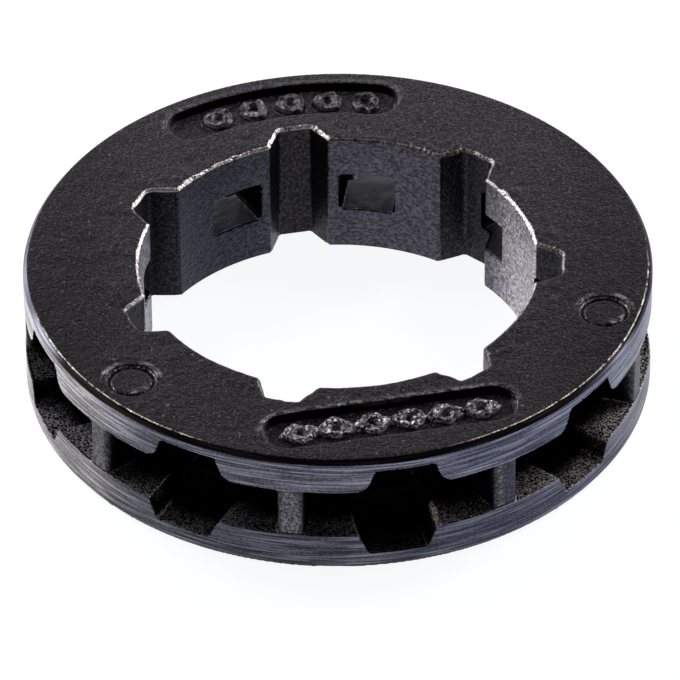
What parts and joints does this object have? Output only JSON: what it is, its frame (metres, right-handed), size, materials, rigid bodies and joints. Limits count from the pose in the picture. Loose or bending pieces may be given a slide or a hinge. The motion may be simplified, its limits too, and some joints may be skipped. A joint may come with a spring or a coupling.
{
  "type": "chainsaw rim sprocket",
  "caption": "Round cast steel drive rim with a splined bore, two flanges, drive posts between them and windows into the bore.",
  "frame": {"origin": "on the bore axis, in the plane of the lower face", "axes": "+Z along the bore axis towards the face with the label panels; +X through the middle of one spline groove"},
  "size_m": [0.0302, 0.0302, 0.0066],
  "materials": {
    "cast_steel": "black oxide on a fine cast grain, with a turned outer band"
  },
  "bodies": {
    "root": {"rim_sprocket": "cast_steel"}
  },
  "joints": []
}
